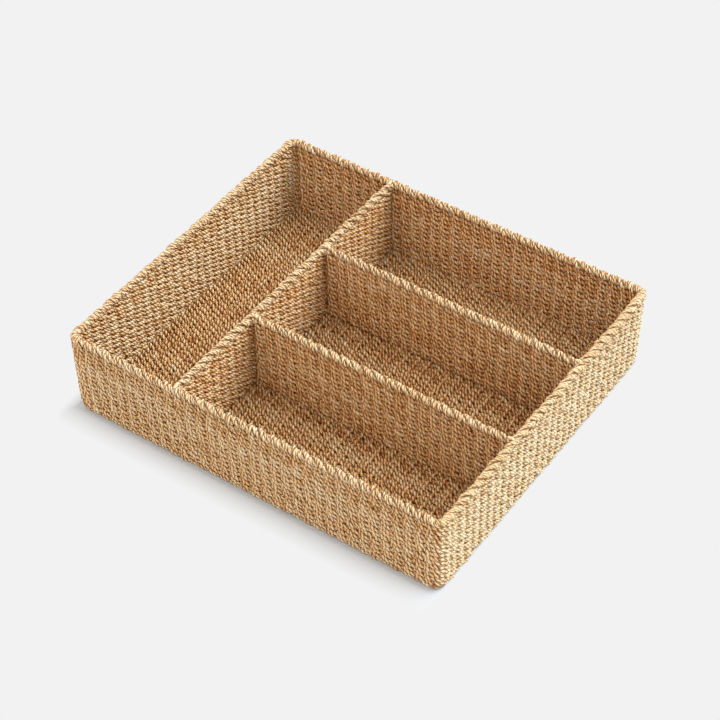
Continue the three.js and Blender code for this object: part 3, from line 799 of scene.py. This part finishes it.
# Divider borders
# The same border along the top of each divider, over its top rail. That of the long divider goes from
# rim to rim, and those of the short ones from the long one to the rim.
RAIL_SEED = 90


def on_rail(divider, axis, outward):
    """What gives the points about a divider's rail, and the way out, as on_rim does about the rim wire."""

    def place(run, depth, height):
        points = divider_points(divider, axis, run, wire_z + height)
        return points + depth[..., None] * np.array(outward), np.array(outward)

    return place


for number, (divider, (axis, outward)) in enumerate(DIVIDERS.items()):
    run, phase = divider_run(divider, axis, STEPS_PER_HALF_TURN)
    rail_rng = np.random.default_rng(RAIL_SEED + number)
    middle = divider_points(divider, axis, run, wire_z - WINDING_DROP)[None]
    winding = wound(middle, outward, run, phase, rail_rng)
    stakes = stake_places(f"{divider}_stakes", axis)
    ends = bent_ends(on_rail(divider, axis, outward), stakes, stakes[1] - stakes[0], rail_rng)
    lengths = [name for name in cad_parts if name.startswith(f"{divider}_border")]
    cord_piece(f"{divider}_rail_cords", [winding, ends], border_cord, "border", *lengths)

# Bindings
# Where a divider's rail meets the rim or another divider, a strand of the same two plies is wound round
# the joint, one and a half times.
BINDING_TURNS, BINDING_STEP = 1.5, 0.0026
BINDING_RADIUS = 0.0031
BINDING_STEPS = 40
# The bindings take the right wall's paler cord, whose colour is partly its own and partly painted light.
BINDING_TONE = 0.75


def binding(centre, along, outward):
    """A strand wound round a joint: centre + step (t / 2 pi) along + radius (outward sin t + up cos t)."""
    turn = np.linspace(-np.pi * BINDING_TURNS, np.pi * BINDING_TURNS, BINDING_STEPS)[:, None]
    way = (np.sin(turn) * outward + np.cos(turn) * np.array((0, 0, 1)))[None]
    middle = centre + BINDING_STEP * turn / (2 * np.pi) * along + BINDING_RADIUS * way
    lay = BINDING_RADIUS / PLY_LAY * 2 * np.pi * turn[:, 0]
    unpressed = np.zeros((1, BINDING_STEPS))
    return plied(middle, way, unpressed, 1, lay, unpressed + BINDING_TONE)


AXES = np.eye(3)
for node in [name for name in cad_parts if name.endswith("_binding")]:
    low, high = (np.array(corner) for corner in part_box(node))
    centre = (low + high) / 2
    centre[2] = wire_z - WINDING_DROP
    along, outward = (AXES[0], -AXES[1]) if node.startswith("long_divider") else (AXES[1], AXES[0])
    cord_piece(f"{node}_cord", [binding(centre, along, outward)], paler_lit_cord, "binding", node)

# Table and light
# A plain pale table, which keeps the shadow close round the tray and is the backdrop's own colour
# further out. A large soft key light comes from above, the right and behind, and a weaker, warmer one
# from above and in front.
TABLE_SIZE, TABLE_DROP = 8, 0.0002
TABLE_COLOUR = (0.54, 0.61, 0.70, 1)
# Painted shadow: under the tray the table is dark warm brown, as shade with light bounced from the cord.
TRAY_SHADOW_COLOUR = (0.30, 0.19, 0.11, 1)
BACKDROP = (0.887, 0.887, 0.887, 1)
SHADED_REACH, SHADE_FALL = (0.010, 0.022), 0.6
LIT_REACH, LIT_INSET, UNDER_INSET = 0.002, 0.004, 0.006
SKY_LIGHT = (1.0, 0.90, 0.81, 1)
SKY_STRENGTH = 1.03
# Each lamp's direction from the tray, its colour, its strength and its width in degrees.
LAMPS = {
    "key_light": ((0.74, 0.62, 1.1), (0.88, 0.95, 0.98), 2.8, 50),
    "fill_light": ((-0.1, -0.7, 1.2), (1.0, 0.80, 0.62), 0.7, 70),
}

bpy.ops.mesh.primitive_plane_add(size=TABLE_SIZE, location=(0, 0, -TABLE_DROP))
table = bpy.context.object
table.name = "table"
table_finish, start = new_finish("table")
place = start.node("TexCoord", output="Object")
parts = [start.node("SeparateXYZ", inputs={0: place}, output=axis) for axis in "XY"]


def shares_away(box, shaded_reach, lit_reach):
    """How far out of a rectangle each place is: 0 in it, and 1 at the reach and beyond.

    The box is the rectangle's least and greatest x and y. Below the least the shaded reaches hold, one
    for x and one for y, and above the greatest the lit one. The two shares add as the root of squares.
    """
    total = 0.0
    for part, low, high, reach in zip(parts, *box, shaded_reach):
        lit = start.maths("MAXIMUM", part - high, 0.0) * (1 / lit_reach)
        shaded = start.maths("MAXIMUM", low - part, 0.0) * (1 / reach)
        total = (lit + shaded) ** 2.0 + total
    return start.maths("MINIMUM", 1.0, total ** 0.5)


seen = start.node("LightPath", output="Is Camera Ray")
lit_edge = cad_box[1].xy - Vector((LIT_INSET, LIT_INSET))
plain = shares_away((cad_box[0].xy, lit_edge), SHADED_REACH, LIT_REACH) ** SHADE_FALL * seen
under = np.array((floor_x, floor_y)) - UNDER_INSET
beyond_tray_shadow = shares_away((-under, under), (UNDER_INSET, UNDER_INSET), UNDER_INSET)
# The painted shadow under the tray, and the plain table beyond it.
table_tray_shadow = start.node("BsdfDiffuse", inputs={"Color": TRAY_SHADOW_COLOUR})
table_beyond = start.node("BsdfDiffuse", inputs={"Color": TABLE_COLOUR})
table_surface = start.node("MixShader", inputs={0: beyond_tray_shadow, 1: table_tray_shadow, 2: table_beyond})
table_glow = start.node("Emission", inputs={"Color": BACKDROP, "Strength": 1.0})
table_shown = start.node("MixShader", inputs={0: plain, 1: table_surface, 2: table_glow})
start.node("OutputMaterial", inputs={"Surface": table_shown})
wear(table, table_finish)

for lamp_name, (direction, colour, strength, spread) in LAMPS.items():
    lamp = bpy.data.objects.new(lamp_name, bpy.data.lights.new(lamp_name, "SUN"))
    lamp.data.energy, lamp.data.color, lamp.data.angle = strength, colour, np.radians(spread)
    lamp.rotation_mode = "QUATERNION"
    lamp.rotation_quaternion = Vector(direction).to_track_quat("Z", "Y")
    bpy.context.scene.collection.objects.link(lamp)

world = bpy.data.worlds.new("studio")
bpy.context.scene.world = world
world.use_nodes = True
world.node_tree.nodes.clear()
start = Field(world.node_tree)
seen = start.node("LightPath", output="Is Camera Ray")
seen = seen.maths("MAXIMUM", seen, start.node("LightPath", output="Is Glossy Ray"))
seen = seen.maths("MAXIMUM", seen, start.node("LightPath", output="Is Transmission Ray"))
sky = start.node("Background", inputs={"Color": SKY_LIGHT, "Strength": SKY_STRENGTH})
backdrop = start.node("Background", inputs={"Color": BACKDROP, "Strength": 1.0})
shown = start.node("MixShader", inputs={0: seen, 1: sky, 2: backdrop})
start.node("OutputWorld", inputs={"Surface": shown})
bpy.context.scene.view_settings.view_transform = "Standard"
